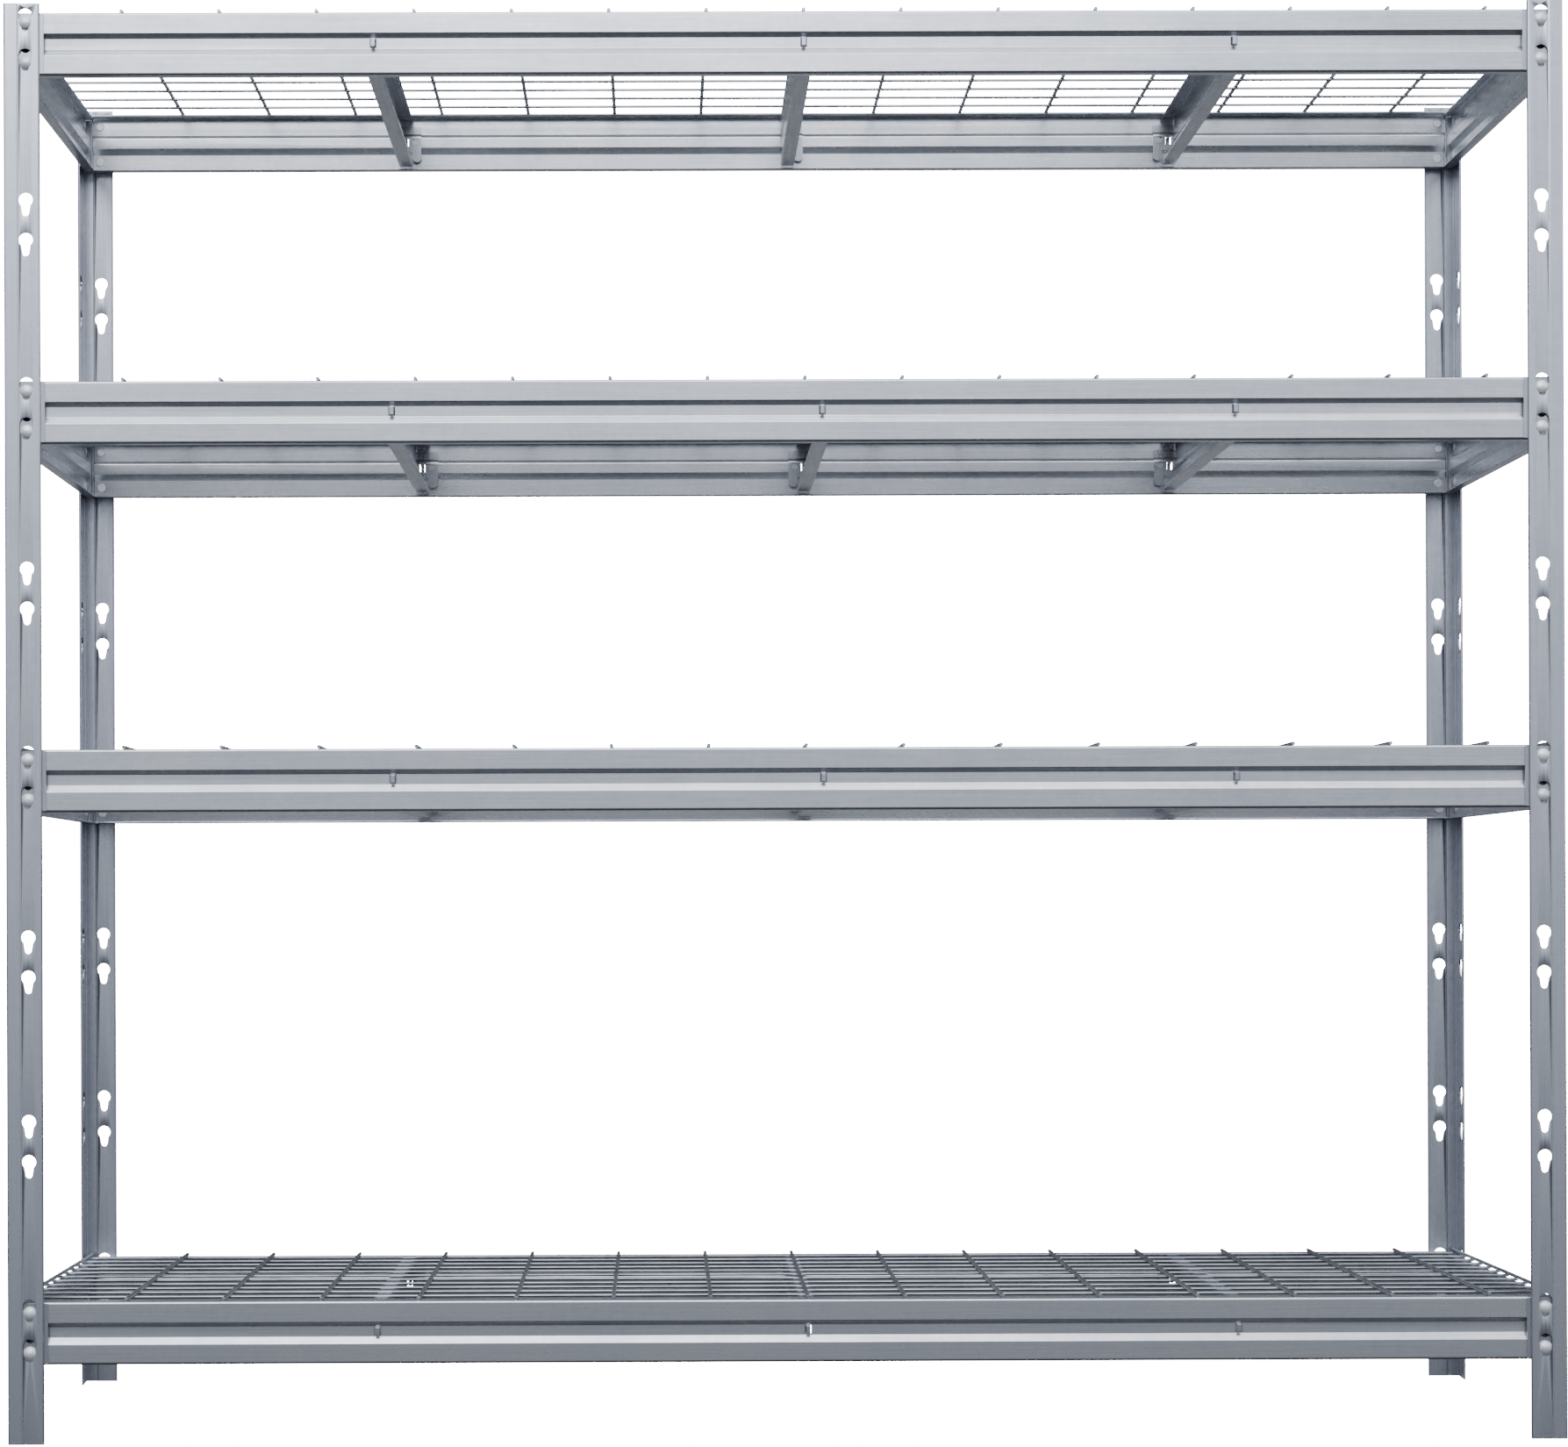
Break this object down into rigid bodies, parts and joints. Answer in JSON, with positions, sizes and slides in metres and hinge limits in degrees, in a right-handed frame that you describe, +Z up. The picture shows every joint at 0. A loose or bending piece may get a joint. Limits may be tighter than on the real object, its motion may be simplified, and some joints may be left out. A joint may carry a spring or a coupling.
{
  "type": "boltless wire-deck shelving unit",
  "caption": "Free-standing boltless steel shelving: keyhole corner posts, riveted grooved beams hooked into them, cross bars and lift-off welded wire decks.",
  "frame": {"origin": "middle of the footprint, on the floor under the posts' feet", "axes": "+X along the long side, towards the right seen from the front; +Y from the front to the back; +Z up"},
  "size_m": [1.9858, 0.6148, 1.829],
  "materials": {
    "post_steel": "roll-formed galvanised sheet with a light grey coat",
    "beam_steel": "roll-formed galvanised sheet with a light grey coat",
    "end_plate_steel": "pressed sheet, coated with its beam",
    "rivet_steel": "zinc-plated, cold-formed",
    "cross_bar_steel": "roll-formed galvanised sheet",
    "clip_steel": "pressed galvanised sheet",
    "deck_wire": "drawn, zinc-plated wire"
  },
  "bodies": {
    "posts": {"front_left_post": "post_steel", "front_right_post": "post_steel", "rear_left_post": "post_steel", "rear_right_post": "post_steel"},
    "shelf_1": {"shelf_1_front_beam": "beam_steel", "shelf_1_rear_beam": "beam_steel", "shelf_1_left_beam": "beam_steel", "shelf_1_right_beam": "beam_steel", "shelf_1_end_plates": "end_plate_steel", "shelf_1_rivets": "rivet_steel", "shelf_1_cross_bar_1": "cross_bar_steel", "shelf_1_cross_bar_2": "cross_bar_steel", "shelf_1_cross_bar_3": "cross_bar_steel", "shelf_1_bar_clips": "clip_steel"},
    "deck_1": {"shelf_1_wire_deck": "deck_wire"},
    "shelf_2": {"shelf_2_front_beam": "beam_steel", "shelf_2_rear_beam": "beam_steel", "shelf_2_left_beam": "beam_steel", "shelf_2_right_beam": "beam_steel", "shelf_2_end_plates": "end_plate_steel", "shelf_2_rivets": "rivet_steel", "shelf_2_cross_bar_1": "cross_bar_steel", "shelf_2_cross_bar_2": "cross_bar_steel", "shelf_2_cross_bar_3": "cross_bar_steel", "shelf_2_bar_clips": "clip_steel"},
    "deck_2": {"shelf_2_wire_deck": "deck_wire"},
    "shelf_3": {"shelf_3_front_beam": "beam_steel", "shelf_3_rear_beam": "beam_steel", "shelf_3_left_beam": "beam_steel", "shelf_3_right_beam": "beam_steel", "shelf_3_end_plates": "end_plate_steel", "shelf_3_rivets": "rivet_steel", "shelf_3_cross_bar_1": "cross_bar_steel", "shelf_3_cross_bar_2": "cross_bar_steel", "shelf_3_cross_bar_3": "cross_bar_steel", "shelf_3_bar_clips": "clip_steel"},
    "deck_3": {"shelf_3_wire_deck": "deck_wire"},
    "shelf_4": {"shelf_4_front_beam": "beam_steel", "shelf_4_rear_beam": "beam_steel", "shelf_4_left_beam": "beam_steel", "shelf_4_right_beam": "beam_steel", "shelf_4_end_plates": "end_plate_steel", "shelf_4_rivets": "rivet_steel", "shelf_4_cross_bar_1": "cross_bar_steel", "shelf_4_cross_bar_2": "cross_bar_steel", "shelf_4_cross_bar_3": "cross_bar_steel", "shelf_4_bar_clips": "clip_steel"},
    "deck_4": {"shelf_4_wire_deck": "deck_wire"}
  },
  "joints": [
    {"name": "shelf_1_lift", "type": "slide", "parent": "posts", "child": "shelf_1", "axis": [0, 0, 1], "range_m": [0, 0.012]},
    {"name": "deck_1_lift", "type": "slide", "parent": "shelf_1", "child": "deck_1", "axis": [0, 0, 1], "range_m": [0, 0.25]},
    {"name": "shelf_2_lift", "type": "slide", "parent": "posts", "child": "shelf_2", "axis": [0, 0, 1], "range_m": [0, 0.012]},
    {"name": "deck_2_lift", "type": "slide", "parent": "shelf_2", "child": "deck_2", "axis": [0, 0, 1], "range_m": [0, 0.355]},
    {"name": "shelf_3_lift", "type": "slide", "parent": "posts", "child": "shelf_3", "axis": [0, 0, 1], "range_m": [0, 0.012]},
    {"name": "deck_3_lift", "type": "slide", "parent": "shelf_3", "child": "deck_3", "axis": [0, 0, 1], "range_m": [0, 0.355]},
    {"name": "shelf_4_lift", "type": "slide", "parent": "posts", "child": "shelf_4", "axis": [0, 0, 1], "range_m": [0, 0.012]},
    {"name": "deck_4_lift", "type": "slide", "parent": "shelf_4", "child": "deck_4", "axis": [0, 0, 1], "range_m": [0, 0.59]}
  ]
}
